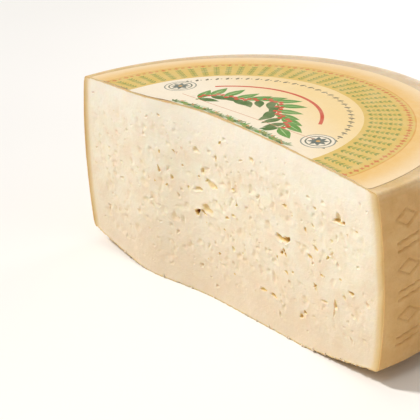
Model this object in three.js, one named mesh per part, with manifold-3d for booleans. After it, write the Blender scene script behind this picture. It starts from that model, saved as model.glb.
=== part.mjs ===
// Half a wheel of semi-hard cheese with its round top label, in millimetres, +Z up.
// The wheel's axis is Z, the flat of its underside is z = 0, and the cut faces -Y.
import * as THREE from "three";
import { mergeVertices } from "three/addons/utils/BufferGeometryUtils.js";
import Module from "manifold-3d";

// The wheel. Its radius is taken half-way up, where the rim bulges most.
const WHEEL_RADIUS = 170;
const CENTRE_HEIGHT = 142;
const TOP_DROP = 8.4; // the domed top falls this far from the centre to the rim
const TOP_POWER = 1.9;
const FOOT_RADIUS = 85; // the underside is flat out to here
const BASE_RISE = 12.4; // and has lifted this far at the rim
const BASE_POWER = 1.3;
const RIM_BULGE = 5.6;
const SHOULDER_RADIUS = 4;
const HEEL_RADIUS = 4;
const SECTORS = 60; // of the full circle
const BASE_STEPS = 4;
const HEEL_STEPS = 2;
const RIM_STEPS = 7;
const SHOULDER_STEPS = 4;
const HEEL_DEGREES = [-80, -10]; // where each corner's round starts and ends
const SHOULDER_DEGREES = [8, 82];

// The cut, in plan: one long flat that runs out of the rim at +X, then two shallow bends.
const CUT_Y = -8.6;
const FIRST_BEND_X = -22;
const SECOND_BEND = [-82, -18.5];
const CUT_END_Y = -13.5; // at the rim on the -X side
const OUTSIDE = 2 * WHEEL_RADIUS;

// The label, a paper disc glued to the dome and cut through with the cheese.
const LABEL_RADIUS = 154;
const LABEL_CENTRE = [1, -8];
const LABEL_THICKNESS = 0.4;
const GLUE_GAP = 0.3;
const DOME_RINGS = 8; // the label follows the same rings

// Gas eyes opened by the cut. The largest are placed one by one: x, z, width, height.
const LARGE_EYES = [
  [127, 106, 13, 8], [68.5, 73, 14, 5.5], [69, 63.5, 7.5, 4.5], [-27.5, 64, 10.5, 5.5],
  [-19, 70, 10, 4.5], [-65.5, 87, 6, 5.5], [-19, 98, 7, 4], [-9, 90, 11, 5.5],
  [-27, 84, 11, 4], [-25, 111, 9, 3], [31, 118, 5.5, 3.2], [70, 97, 7.5, 3],
  [145.5, 78, 6, 3], [46, 28, 8.5, 4], [55, 26.5, 6.5, 5], [100, 49, 5, 7],
  [138, 57.5, 5, 4], [122, 43, 5, 10], [88.5, 24.5, 7.5, 5], [103, 74, 5, 4.5],
  [93, 85, 6, 3.5], [115, 69, 6, 5], [12, 47, 5, 3.5], [-52, 84, 3.5, 4],
];
const SMALL_EYE_TRIES = 900;
const SMALL_EYE_SIZE = [1.1, 3.6]; // width, smallest to largest
const CARVED_EYE_SIZE = 2.3; // smaller ones are too fine to carve here
const EYE_SPACING = 4.2;
const EYE_MARGIN = 11; // no eye is nearer than this to the rind
const EYE_STRETCH = 1.5; // an eye is wider than it is high
const EYE_DEPTH_SHARE = 2 / 7; // half an eye's depth, of its width and height together
const EYE_SINK = 0.25; // its middle lies this share of that behind the cut
const EYE_LUMP = [0.85, 1.15]; // how far each of its corners stands out, least to most
const EYE_TILT = 0.5; // radians, from one side to the other
const FINE_EYE_SIZE = 5; // wider eyes have more faces
const SEED = 20417;

// The rim is pressed all round with columns of plain marks: lozenges and slanted bars.
const MARK_COLUMNS = 7;
const FIRST_COLUMN_DEG = 4.5;
const COLUMN_STEP_DEG = 28;
const MARK_ROWS = 6;
const MARK_PITCH = 16.6;
const MARK_WIDTH = 19; // along the rim
const MARK_HEIGHT = 11;
const GROOVE_WIDTH = 1.8;
const GROOVE_DEPTH = 0.9;

const LABEL_COLOUR = 0xf0cf7a;
const LABEL_ROUGHNESS = 0.5;
const PASTE_COLOUR = 0xf3e2c2;
const PASTE_ROUGHNESS = 0.55;

const wasm = await Module();
wasm.setup();

// The same seed always gives the same draws.
function drawsFrom(seed) {
  let state = seed;
  return () => {
    state = (state * 1664525 + 1013904223) % 4294967296;
    return state / 4294967296;
  };
}

function solidFrom(geometry) {
  const bare = geometry.index ? geometry.toNonIndexed() : geometry.clone();
  bare.deleteAttribute("normal");
  bare.deleteAttribute("uv");
  const merged = mergeVertices(bare, 1e-4);
  const corners = merged.index.array;
  const triVerts = [];
  for (let i = 0; i < corners.length; i += 3) {
    const [a, b, c] = corners.slice(i, i + 3);
    if (a !== b && b !== c && c !== a) triVerts.push(a, b, c);
  }
  return new wasm.Manifold(
    new wasm.Mesh({
      numProp: 3,
      vertProperties: merged.attributes.position.array,
      triVerts: new Uint32Array(triVerts),
    }),
  );
}

function namedMesh(name, solid, colour, roughness) {
  const mesh = solid.getMesh();
  const geometry = new THREE.BufferGeometry();
  geometry.setAttribute("position", new THREE.BufferAttribute(mesh.vertProperties, 3));
  geometry.setIndex(new THREE.BufferAttribute(mesh.triVerts, 1));
  geometry.computeVertexNormals();
  const material = new THREE.MeshStandardMaterial({ color: colour, roughness, metalness: 0 });
  const made = new THREE.Mesh(geometry, material);
  made.name = name;
  return made;
}

const topHeight = (r) => CENTRE_HEIGHT - TOP_DROP * (r / WHEEL_RADIUS) ** TOP_POWER;

function baseHeight(r) {
  const past = Math.max(0, r - FOOT_RADIUS) / (WHEEL_RADIUS - FOOT_RADIUS);
  return BASE_RISE * past ** BASE_POWER;
}

function rimRadius(z) {
  const middle = (CENTRE_HEIGHT - TOP_DROP + BASE_RISE) / 2;
  const half = (CENTRE_HEIGHT - TOP_DROP - BASE_RISE) / 2;
  return WHEEL_RADIUS - RIM_BULGE * ((z - middle) / half) ** 2;
}

// A quarter round between the rim and the face above or below it.
function roundedCorner(centreR, centreZ, radius, [fromDeg, toDeg], steps) {
  return Array.from({ length: steps + 1 }, (_, i) => {
    const angle = THREE.MathUtils.degToRad(fromDeg + ((toDeg - fromDeg) * i) / steps);
    return new THREE.Vector2(centreR + radius * Math.cos(angle), centreZ + radius * Math.sin(angle));
  });
}

// Radii of the rings that both the dome and the label are built on.
function domeRings() {
  const outer = rimRadius(topHeight(WHEEL_RADIUS)) - SHOULDER_RADIUS;
  return Array.from({ length: DOME_RINGS + 1 }, (_, i) => (outer * i) / DOME_RINGS);
}

// Half the wheel's section, from the middle of the underside round to the middle of the top.
function wheelProfile() {
  const heelR = rimRadius(BASE_RISE) - HEEL_RADIUS;
  const heelZ = baseHeight(heelR) + HEEL_RADIUS;
  const rings = domeRings();
  const shoulderR = rings[DOME_RINGS];
  const shoulderZ = topHeight(shoulderR) - SHOULDER_RADIUS;
  const points = [new THREE.Vector2(0, 0), new THREE.Vector2(FOOT_RADIUS, 0)];
  for (let i = 1; i < BASE_STEPS; i += 1) {
    const r = FOOT_RADIUS + ((heelR - FOOT_RADIUS) * i) / BASE_STEPS;
    points.push(new THREE.Vector2(r, baseHeight(r)));
  }
  points.push(...roundedCorner(heelR, heelZ, HEEL_RADIUS, HEEL_DEGREES, HEEL_STEPS));
  for (let i = 1; i < RIM_STEPS; i += 1) {
    const z = heelZ + ((shoulderZ - heelZ) * i) / RIM_STEPS;
    points.push(new THREE.Vector2(rimRadius(z), z));
  }
  points.push(
    ...roundedCorner(shoulderR, shoulderZ, SHOULDER_RADIUS, SHOULDER_DEGREES, SHOULDER_STEPS),
  );
  for (const r of rings.slice(1, -1).reverse()) points.push(new THREE.Vector2(r, topHeight(r)));
  points.push(new THREE.Vector2(0, CENTRE_HEIGHT));
  return points;
}

function turnedAboutZ(points) {
  return new THREE.LatheGeometry(points, SECTORS).rotateX(Math.PI / 2);
}

// Everything in front of the cut, as a block that reaches past the wheel.
function missingHalf() {
  const shape = new THREE.Shape([
    new THREE.Vector2(OUTSIDE, CUT_Y),
    new THREE.Vector2(FIRST_BEND_X, CUT_Y),
    new THREE.Vector2(...SECOND_BEND),
    new THREE.Vector2(-OUTSIDE, cutY(-OUTSIDE)),
    new THREE.Vector2(-OUTSIDE, -OUTSIDE),
    new THREE.Vector2(OUTSIDE, -OUTSIDE),
  ]);
  const block = new THREE.ExtrudeGeometry(shape, { depth: 2 * OUTSIDE, bevelEnabled: false });
  return solidFrom(block.translate(0, 0, -OUTSIDE));
}

// Where the cut lies at a given x.
function cutY(x) {
  const [bendX, bendY] = SECOND_BEND;
  if (x >= FIRST_BEND_X) return CUT_Y;
  if (x >= bendX) return CUT_Y + ((bendY - CUT_Y) * (FIRST_BEND_X - x)) / (FIRST_BEND_X - bendX);
  return bendY + ((CUT_END_Y - bendY) * (bendX - x)) / (bendX + WHEEL_RADIUS);
}

function insideTheRind(x, z) {
  const r = Math.hypot(x, cutY(x));
  const low = baseHeight(r) + EYE_MARGIN;
  const high = topHeight(r) - EYE_MARGIN;
  return r < rimRadius(z) - EYE_MARGIN && z > low && z < high;
}

// Small eyes, thrown at random over the cut and kept clear of the others.
function scatteredEyes(draw) {
  const eyes = LARGE_EYES.map(([x, z, width, height]) => ({ x, z, width, height }));
  const [least, most] = SMALL_EYE_SIZE;
  for (let i = 0; i < SMALL_EYE_TRIES; i += 1) {
    const x = WHEEL_RADIUS * (2 * draw() - 1);
    const z = CENTRE_HEIGHT * draw();
    const width = least + (most - least) * draw() ** 3;
    const clear = eyes.every((eye) => {
      return Math.hypot(eye.x - x, eye.z - z) > EYE_SPACING + eye.width / 2;
    });
    if (clear && insideTheRind(x, z)) eyes.push({ x, z, width, height: width / EYE_STRETCH });
  }
  return eyes.filter((eye) => eye.width > CARVED_EYE_SIZE);
}

// One eye: a lumpy pebble of air, half sunk in the cut.
function eyeSolid(eye, draw) {
  const pebble = new THREE.IcosahedronGeometry(1, eye.width > FINE_EYE_SIZE ? 1 : 0);
  pebble.deleteAttribute("normal");
  pebble.deleteAttribute("uv");
  const merged = mergeVertices(pebble, 1e-4);
  const at = merged.attributes.position;
  const [least, most] = EYE_LUMP;
  for (let i = 0; i < at.count; i += 1) {
    const lump = least + (most - least) * draw();
    at.setXYZ(i, at.getX(i) * lump, at.getY(i) * lump, at.getZ(i) * lump);
  }
  merged.rotateY(Math.PI * draw());
  const depth = (eye.width + eye.height) * EYE_DEPTH_SHARE;
  merged.scale(eye.width / 2, depth, eye.height / 2);
  merged.rotateY(EYE_TILT * (draw() - 0.5));
  merged.translate(eye.x, cutY(eye.x) + EYE_SINK * depth, eye.z);
  return solidFrom(merged);
}

// A V-shaped groove between two points of the unrolled rim: u along it, z up.
function grooveSolid(column, [u1, z1], [u2, z2]) {
  const length = Math.hypot(u2 - u1, z2 - z1);
  const vee = new THREE.Shape([
    new THREE.Vector2(-GROOVE_DEPTH, 0),
    new THREE.Vector2(GROOVE_DEPTH, -GROOVE_WIDTH),
    new THREE.Vector2(GROOVE_DEPTH, GROOVE_WIDTH),
  ]);
  const bar = new THREE.ExtrudeGeometry(vee, { depth: length, bevelEnabled: false });
  bar.translate(0, 0, -length / 2);
  bar.rotateX(-Math.atan2(u2 - u1, z2 - z1));
  const z = (z1 + z2) / 2;
  const angle = column + (u1 + u2) / 2 / WHEEL_RADIUS;
  bar.translate(rimRadius(z) * Math.cos(Math.PI / SECTORS), 0, z);
  return solidFrom(bar.rotateZ(angle));
}

function lozengeMark(column, z) {
  const half = MARK_WIDTH / 2;
  const corners = [[-half, z], [0, z + MARK_HEIGHT / 2], [half, z], [0, z - MARK_HEIGHT / 2]];
  return corners.map((corner, i) => grooveSolid(column, corner, corners[(i + 1) % 4]));
}

function barsMark(column, z) {
  const half = MARK_WIDTH / 2;
  const rise = MARK_HEIGHT / 4;
  return [-rise, rise].map((up) => {
    return grooveSolid(column, [-half, z + up - rise / 2], [half, z + up + rise / 2]);
  });
}

function rimMarks() {
  const middle = (CENTRE_HEIGHT - TOP_DROP + BASE_RISE) / 2;
  const marks = [];
  for (let i = 0; i < MARK_COLUMNS; i += 1) {
    const column = THREE.MathUtils.degToRad(FIRST_COLUMN_DEG + COLUMN_STEP_DEG * i);
    for (let row = 0; row < MARK_ROWS; row += 1) {
      const z = middle + (row - (MARK_ROWS - 1) / 2) * MARK_PITCH;
      marks.push(...(row % 2 ? lozengeMark(column, z) : barsMark(column, z)));
    }
  }
  return marks;
}

function cheeseSolid(missing) {
  const draw = drawsFrom(SEED);
  const eyes = scatteredEyes(draw).map((eye) => eyeSolid(eye, draw));
  const half = solidFrom(turnedAboutZ(wheelProfile())).subtract(missing);
  return [...eyes, ...rimMarks()].reduce((solid, hollow) => solid.subtract(hollow), half);
}

// The label follows the dome's own rings, so it lies a constant gap above it.
function labelSolid(missing) {
  const rings = domeRings();
  const under = rings.map((r) => new THREE.Vector2(r, topHeight(r) + GLUE_GAP));
  const over = under.map((p) => new THREE.Vector2(p.x, p.y + LABEL_THICKNESS));
  const blank = solidFrom(turnedAboutZ([...under, ...over.reverse()]));
  const die = new THREE.CylinderGeometry(LABEL_RADIUS, LABEL_RADIUS, OUTSIDE, SECTORS);
  die.rotateX(Math.PI / 2).translate(LABEL_CENTRE[0], LABEL_CENTRE[1], CENTRE_HEIGHT);
  return blank.intersect(solidFrom(die)).subtract(missing);
}

const missing = missingHalf();
const cheese = new THREE.Group();
cheese.add(namedMesh("cheese", cheeseSolid(missing), PASTE_COLOUR, PASTE_ROUGHNESS));
cheese.add(namedMesh("label", labelSolid(missing), LABEL_COLOUR, LABEL_ROUGHNESS));

export default cheese;
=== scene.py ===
# Half a wheel of semi-hard cheese with a printed paper label, dressed for a studio picture.
# Lengths are in millimetres until a mesh is made. The wheel's axis is Z and the cut faces -Y.
import math

import bmesh
import bpy
import numpy as np
from mathutils import Euler, Matrix, Vector
from mathutils.geometry import delaunay_2d_cdt


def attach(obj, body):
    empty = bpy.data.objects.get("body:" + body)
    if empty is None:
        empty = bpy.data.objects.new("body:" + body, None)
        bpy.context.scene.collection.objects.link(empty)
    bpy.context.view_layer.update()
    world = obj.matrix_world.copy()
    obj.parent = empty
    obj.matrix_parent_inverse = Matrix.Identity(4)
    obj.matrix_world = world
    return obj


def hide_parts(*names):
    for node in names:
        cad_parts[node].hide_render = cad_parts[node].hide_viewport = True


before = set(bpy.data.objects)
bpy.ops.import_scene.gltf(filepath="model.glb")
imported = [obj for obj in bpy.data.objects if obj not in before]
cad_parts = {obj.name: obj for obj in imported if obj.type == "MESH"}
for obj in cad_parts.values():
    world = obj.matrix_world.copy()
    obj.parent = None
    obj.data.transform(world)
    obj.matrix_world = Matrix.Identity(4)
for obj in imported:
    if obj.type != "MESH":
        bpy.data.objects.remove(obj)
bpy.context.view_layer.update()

MM = 0.001
SEED = 20417
EYE_SEED = SEED + 1
LABEL_SEED = SEED + 2
MEADOW_SEED = SEED + 3
CRUMB_SEED = SEED + 4

# The wheel, as in the solid.
WHEEL_RADIUS = 170
CENTRE_HEIGHT = 142
TOP_DROP = 8.4
TOP_POWER = 1.9
FOOT_RADIUS = 85
BASE_RISE = 12.4
BASE_POWER = 1.3
RIM_BULGE = 5.6
SHOULDER_RADIUS = 4
SHOULDER_ARC = (6, 82, 14)  # from and to, in degrees, and the number of points
HEEL_RADIUS = 4
HEEL_ARC = (-80, -6, 8)
RIM_EDGE_HEIGHT = CENTRE_HEIGHT - TOP_DROP
RIM_MIDDLE = (RIM_EDGE_HEIGHT + BASE_RISE) / 2
RIM_HALF = (RIM_EDGE_HEIGHT - BASE_RISE) / 2

# The cut in plan, as x and y of its bends.
CUT_X = [-170, -82, -22, 170]
CUT_Y = [-13.5, -18.5, -8.6, -8.6]
BEND_SHIFTS = (-14, -7, 0, 7, 14)
SETTLING_ROUNDS = 6

# The pressed marks of the rim.
MARK_COLUMNS = 7
FIRST_COLUMN = math.radians(4.5)
COLUMN_STEP = math.radians(28)
MARK_ROWS = 6
MARK_PITCH = 16.6
MARK_WIDTH = 19
MARK_HEIGHT = 11
MARK_BORDER = 2
GROOVE_REACH = 1.25
GROOVE_FLOOR = 0.1
GROOVE_DEPTH = 0.9
GROOVE_LIP = 0.14
LIP_OUTSIDE = (2.6, 1.5)  # a groove's lip rises between these distances from its middle
LIP_INSIDE = (0.9, 1.6)

# Waves, each as the size of its lumps, its height and the turn of the lattice.
RIM_WAVES = ((38, 0.45, 0), (9, 0.16, 1), (2.6, 0.05, 2))
RIM_WAVE_TOP = 0.3
CUT_WAVES = ((26, 0.35, 8), (12, 0.5, 9), (4, 0.12, 18))
CUT_WAVE_START = (0.2, 3)  # the waves grow between these depths under the rind
CUT_GRAIN = (1.9, 0.07, 11)
CUT_GRAIN_START = (4, 16)
CUT_SETBACK = 0.05
EDGE_CLEARANCE = 0.9  # of the cut's inner points from its edge
RAGGED_WAVES = ((3.1, 1, 5), (1.5, 0.5, 6))
RAGGED_TOP = 0.12
RAGGED_BASE = 0.9
# Lumps, as size and turn.
SETBACK_LUMPS = (2.3, 7)
SETBACK_SHARE = 0.6  # how far a ragged edge draws back
TOP_LUMPS = (14, 12)
TOP_RELIEF = 0.4
TOP_SINK = 0.02
BASE_LUMPS = (12, 13)
BASE_RELIEF = 0.5
BASE_FLAT_RELIEF = 0.3
BASE_LIFTED = (FOOT_RADIUS - 10, FOOT_RADIUS + 20)  # where the relief grows

# The small gas eyes, drawn as in the solid.
SMALL_EYE_TRIES = 900
SMALL_EYE_SIZE = (1.1, 3.6)
SMALL_EYE_POWER = 3  # the higher, the more of them are tiny
EYE_SPACING = 4.2
EYE_MARGIN = 11
DRAW_FACTOR = 1664525
DRAW_STEP = 1013904223
DRAW_RANGE = 4294967296

# The small eyes' torn mouths, wider than their hollows in the solid, and most of them without painted
# shade.
SEEN_SIZE = 1.35
SMALL_LENGTH = (0.9, 1.4)
SMALL_WIDTH = 0.7
SMALL_TURN = (-10, 35)  # mean and spread
SMALL_DEPTH = (0.1, 0.45)
SMALL_DARKNESS = (-3.6, 0.5)
SMALL_STEEP_SIDE = (60, 200)

# The soft dents: the width is a share of the length.
SOFT_DENTS = 400
DENT_LENGTH = (3, 10)
DENT_WIDTH = (0.4, 0.8)
DENT_DEPTH = (0.25, 1.0)
DENT_TURN = (-15, 40)
DENT_STEEP_SIDE = (80, 190)
DENT_FADE = (8, 30)  # how far from the rind they grow deep

# The form of a lobe. Distances are 0 at its middle and 1 at its mouth.
LOBE_WAVES = ((2, 0.12), (3, 0.16), (5, 0.09))  # how ragged its mouth is: order and size
LOBE_FLOOR = 0.55
DARK_FLOOR = 0.2  # how much wider the floor of a dark lobe is
DARK_WALL = 0.25  # a lobe at least this dark has the steepest walls
GENTLE_SLOPE = 0.65  # how much narrower the floor is on the gentle side
LIP_RISE = (1.7, 1.2)
LIP_FALL = (0.8, 1.2)
LIP_SHARE = 0.3  # a lip's height over its lobe's depth
SHADE_SHARE = 0.4  # from this share of the depth the shade is full
GENTLE_SHADE = 0.7
DARK_SHARE = (0.1, 0.6)  # shares of the depth between which the painted shade grows
WARM_DEPTH = 2.4  # a lobe this deep has the full painted glow in its shade
WARM_POWER = 1.2
MOUTH_DEPTH = 0.02  # anything shallower is a lip
LOBE_BOX = 0.85  # half the box that holds a lobe, over its length
FINE_REACH = 0.6  # the same for the fine mesh

# The large gas eyes: x, z and width, as in the solid.
LARGE_EYES = [
    (127, 106, 13), (68.5, 73, 14), (69, 63.5, 7.5), (-27.5, 64, 10.5), (-19, 70, 10), (-65.5, 87, 6),
    (-19, 98, 7), (-9, 90, 11), (-27, 84, 11), (-25, 111, 9), (31, 118, 5.5), (70, 97, 7.5),
    (145.5, 78, 6), (46, 28, 8.5), (55, 26.5, 6.5), (100, 49, 5), (138, 57.5, 5), (122, 43, 5),
    (88.5, 24.5, 7.5), (103, 74, 5), (93, 85, 6), (115, 69, 6), (12, 47, 5), (-52, 84, 3.5),
]
# Their torn lobes and a few finer ones: x, z, length, width, turn, steepest side, depth, darkness of the
# painted shade deep inside.
LARGE_LOBES = [
    (125.6, 106.4, 9, 5.5, 62, 180, 1.8, 0.1), (125.3, 103.9, 11, 2.8, 4, 90, 2.2, 0.45),
    (130.9, 104.8, 2.6, 2.4, 0, 0, 2.6, 0.85),
    (65.6, 73.3, 12, 4.4, -14, 80, 2.2, 0.36), (72.4, 74.0, 7.2, 5.4, 30, 60, 3.2, 0.66),
    (68.7, 65.1, 2.4, 2.6, 0, 90, 2.0, 0.75), (66.8, 62.7, 2.8, 2.4, 0, 180, 2.0, 0.8),
    (70.7, 62.9, 3.2, 2.2, -15, -90, 2.0, 0.8), (68.7, 63.5, 7.5, 5.5, 0, 120, 0.8, 0.05),
    (-27.1, 63.7, 6.4, 5.4, 20, 180, 3.6, 1.0), (-16.5, 68.4, 13, 7, -8, 115, 1.7, 0.2),
    (-20.5, 65.0, 9, 1.8, -22, 60, 1.8, 0.6),
    (-11.0, 89.6, 13, 6, -8, -100, 1.5, 0.16), (-16.0, 90.7, 2.6, 3.2, 0, 180, 1.3, 0.25),
    (-7.0, 88.8, 6, 2.6, -15, -90, 1.3, 0.24),
    (-26.7, 81.3, 9.5, 4.2, 12, 60, 1.4, 0.2), (-36.5, 80.3, 3, 2.6, 0, 150, 0.8, 0.24),
    (-20.2, 97.0, 4.6, 5.2, 40, 200, 1.6, 0.22), (-16.0, 98.5, 10, 5, 15, 120, 0.8, 0.0),
    (-26.5, 111.0, 9, 4.2, 0, 150, 1.2, 0.12), (-5.3, 110.4, 2.4, 5, 8, 180, 1.4, 0.26),
    (36.5, 121.0, 5.5, 4, -30, 150, 1.2, 0.18), (23.7, 116.6, 6.5, 1.8, 22, 90, 0.8, 0.12),
    (17.9, 82.5, 2.5, 2.5, 0, 90, 2.2, 0.8), (-4.3, 38.0, 2.4, 2.3, 0, 90, 2.0, 0.75),
    (13.4, 92.2, 5, 2.4, -10, 90, 0.9, 0.25), (-25.0, 91.4, 2.1, 2.1, 0, 90, 1.2, 0.5),
    (6.0, 68.8, 6, 2.4, 20, 110, 1.0, 0.25), (13.6, 72.9, 5, 2.2, 0, 90, 1.0, 0.25),
    (-65.8, 87.0, 3.6, 5.6, 10, 180, 2.0, 0.4), (-52.2, 84.2, 2.6, 4.2, 0, 0, 1.4, 0.3),
    (-49.2, 104.9, 4, 1.5, -35, 90, 1.0, 0.4), (-41.4, 95.7, 2.6, 2.4, 0, 120, 0.8, 0.24),
    (-63.5, 128.5, 3.5, 2.4, -30, 150, 0.9, 0.2), (12.0, 47.0, 5, 2.8, -30, 120, 1.0, 0.2),
    (45.5, 28.2, 7.5, 3.2, 10, -90, 1.2, 0.3), (57.2, 27.4, 8, 2.6, -5, 90, 1.8, 0.4),
    (101.6, 49.6, 6.8, 1.9, -62, 170, 1.5, 0.4), (101.4, 50.2, 5.2, 1.6, 40, 120, 1.2, 0.3),
    (110.8, 42.1, 8.5, 1.9, 4, 90, 0.9, 0.2), (122.3, 43.9, 4.4, 6.2, 0, 180, 1.9, 0.2),
    (120.8, 37.8, 1.8, 8.5, -8, 180, 1.0, 0.08), (138.2, 57.8, 6.8, 2.7, -10, 100, 1.7, 0.4),
    (90.6, 26.9, 3.8, 3.0, 10, 150, 2.2, 0.6), (86.6, 22.5, 4.2, 3.2, 0, 180, 1.8, 0.4),
    (88.8, 24.7, 9, 5, 45, 130, 0.7, 0.0), (78.3, 52.1, 2.5, 1.9, 0, 90, 1.1, 0.4),
    (108.8, 60.4, 2.8, 2.1, 0, 120, 1.1, 0.35), (103.0, 77.7, 6.4, 2.5, -28, 130, 1.4, 0.35),
    (96.4, 69.9, 6, 2.1, -32, 130, 1.2, 0.4), (92.3, 87.9, 2.6, 4.8, 12, 200, 1.2, 0.35),
    (100.2, 92.8, 3.8, 2.1, -40, 120, 0.9, 0.25), (115.0, 75.2, 3.8, 2.7, 30, 150, 1.1, 0.3),
    (119.0, 79.0, 5.5, 2.6, 40, 130, 0.8, 0.15), (71.1, 98.1, 6, 2.7, 0, 100, 1.1, 0.25),
    (102.5, 106.0, 3.2, 2.5, -20, 130, 1.0, 0.25), (144.5, 78.2, 4, 2.3, 0, 120, 0.9, 0.1),
    (61.7, 57.9, 3, 2, -40, 120, 1.0, 0.4),
]

# Colour zones of the paste and the rind.
SKIN_REACH = 12  # how deep the rind's colour fades into the paste
TOP_RIND = 9  # how many times thinner the rind is on the top
BASE_RIND = 6  # the same for the underside
LOW_PASTE = 90  # the paste has painted warm shade below this height and painted light above it
BACK_SHEEN_REACH = (10, 110)  # how far behind the axis the crown turns pale with painted sheen
EDGE_REACH = 7  # the rim is paler this near to the cut, a painted glow of light through the rind
SIDE_TOP = 1  # where the side's colour ends, over the rim's edge
SIDE_TOP_WAVE = (22, 1.5, 20)
SIDE_FADE = 8
PALE_SIDE_DROP = 6  # how much lower the side's colour ends under the painted sheen at the back
PALE_SIDE_FADE = 7  # how much farther it fades there

# The torn bits along the cut's lower edge. Most values are shares of a crumb's size.
CRUMBS = 46
CRUMB_SIZE = (0.35, 1.0)
CRUMB_POWER = 2  # the higher, the more of them are tiny
CRUMB_REACH = (-150, 160)
CRUMB_OUT = 0.3
CRUMB_LIFT = (0.8, 1.6)
CRUMB_LUMPS = (2.2, 0.35, 0)
CRUMB_SQUASH = (0.6, 1.2)
FLOOR_GAP = 0.05

# The label.
LABEL_RADIUS = 154
TOP_BARE = (LABEL_RADIUS + 4, LABEL_RADIUS + 9)  # where the top's relief grows
LABEL_CENTRE = np.array([1, -8])
LABEL_LIFT = 0.08
LABEL_THICKNESS = 0.16
LABEL_ARC = (-1.2, 181.2, 190)
LABEL_INSET = 0.3  # from the cut
LABEL_RIM_INSET = 0.4
LABEL_CORNER = 1
LEAST_INSET = 0.1
LABEL_EDGE_STEP = 1.6
TEAR = (13, 1.3, 14)
FRAY = (2.6, 0.3, 15)
BLISTERS = (11, 0.12, 17)
CURL_HEIGHT = 0.8
CURL_REACH = 7
CURL_LEAST = 0.4
CURL_WAVE = (17, 0.8, 16)

# How fine the meshes are.
RIM_ROW_STEP = 1.05
MARK_STEP = 0.8
PLAIN_STEP = 3.0
CUT_STEP = 1.2
DOME_STEP = 6
EYE_STEP = 0.58
LABEL_STEP = 5.0
ROW_SHARE = 0.866  # between the rows of a honeycomb, over its step
JITTER = 0.22
INSIDE_ONLY = 1  # the triangulation keeps what lies inside the outline
OUTLINE_TOLERANCE = 1e-6
PRINT_TOLERANCE = 1e-4
SMOOTH_ANGLE = math.radians(40)


def top_height(r):
    return CENTRE_HEIGHT - TOP_DROP * (r / WHEEL_RADIUS) ** TOP_POWER


def base_height(r):
    past = np.maximum(0, r - FOOT_RADIUS) / (WHEEL_RADIUS - FOOT_RADIUS)
    return BASE_RISE * past**BASE_POWER


def rim_radius(z):
    return WHEEL_RADIUS - RIM_BULGE * ((z - RIM_MIDDLE) / RIM_HALF) ** 2


def cut_y(x):
    """Where the cut lies at a given x, with its bends eased."""
    return sum(np.interp(x + shift, CUT_X, CUT_Y) for shift in BEND_SHIFTS) / len(BEND_SHIFTS)


def distance(points):
    """How far each point lies from the axis, or from 0 in a plane."""
    return np.hypot(points[:, 0], points[:, 1])


def on_the_cut(flat):
    """Points of the cut from their x and z."""
    return np.column_stack([flat[:, 0], cut_y(flat[:, 0]), flat[:, 1]])


def smoothstep(low, high, value):
    t = np.clip((value - low) / (high - low), 0, 1)
    return t * t * (3 - 2 * t)


def turned(points, degrees):
    c = math.cos(math.radians(degrees))
    s = math.sin(math.radians(degrees))
    return np.column_stack([c * points[:, 0] - s * points[:, 1], s * points[:, 0] + c * points[:, 1]])


LATTICE_SIZE = 32
LATTICE = np.random.default_rng(SEED).random((LATTICE_SIZE, LATTICE_SIZE, LATTICE_SIZE))
LATTICE_TILT = np.array(Euler((0.6, 0.9, 0.4)).to_matrix())  # no lattice line shows on the cut
LATTICE_TURN = 7.3


def noise(points, size, turn=0):
    """Smooth noise from -1 to 1 at points in millimetres, with lumps of about the given size."""
    at = np.asarray(points, float) @ LATTICE_TILT / size + LATTICE_TURN * turn
    cell = np.floor(at).astype(int)
    f = at - cell
    f = f * f * (3 - 2 * f)
    total = np.zeros(len(at))
    for corner in np.ndindex(2, 2, 2):
        weight = np.prod(np.where(corner, f, 1 - f), axis=1)
        x, y, z = ((cell + corner) % LATTICE_SIZE).T
        total += weight * LATTICE[x, y, z]
    return 2 * total - 1


def waves(points, *layers):
    return sum(height * noise(points, size, turn) for size, height, turn in layers)


# ---- the surface of the cheese

class Surface:
    """Points and faces of one closed mesh, with the painted glow in shade and the painted shade that eyes
    give a point.
    """

    def __init__(self):
        self.points = []
        self.shade_glow = []
        self.darkness = []
        self.faces = []
        self.count = 0

    def add(self, points, shade_glow=0.0, darkness=0.0):
        points = np.asarray(points, float).reshape(-1, 3)
        self.points.append(points)
        self.shade_glow.append(np.full(len(points), shade_glow))
        self.darkness.append(np.full(len(points), darkness))
        self.count += len(points)
        return np.arange(self.count - len(points), self.count)

    def points_at(self, ids):
        return np.vstack(self.points)[ids]


def rounded_corner(centre_r, centre_z, radius, reach):
    angles = np.radians(np.linspace(*reach))
    return np.column_stack([centre_r + radius * np.cos(angles), centre_z + radius * np.sin(angles)])


def rim_section():
    """Radius and height of the rows of the rim, from the heel to the shoulder."""
    heel_r = rim_radius(BASE_RISE) - HEEL_RADIUS
    heel_z = base_height(heel_r) + HEEL_RADIUS
    shoulder_r = rim_radius(RIM_EDGE_HEIGHT) - SHOULDER_RADIUS
    shoulder_z = top_height(shoulder_r) - SHOULDER_RADIUS
    heel = rounded_corner(heel_r, heel_z, HEEL_RADIUS, HEEL_ARC)
    shoulder = rounded_corner(shoulder_r, shoulder_z, SHOULDER_RADIUS, SHOULDER_ARC)
    heights = np.arange(heel_z + RIM_ROW_STEP / 2, shoulder_z, RIM_ROW_STEP)
    side = np.column_stack([rim_radius(heights), heights])
    return np.vstack([heel, side, shoulder])


def cut_angle(r, left):
    """Angle round the axis at which the circle of radius r meets the cut."""
    angle = math.pi if left else 0.0
    for _ in range(SETTLING_ROUNDS):
        y = cut_y(r * math.cos(angle))
        angle = math.pi - math.asin(y / r) if left else math.asin(y / r)
    return angle


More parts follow.
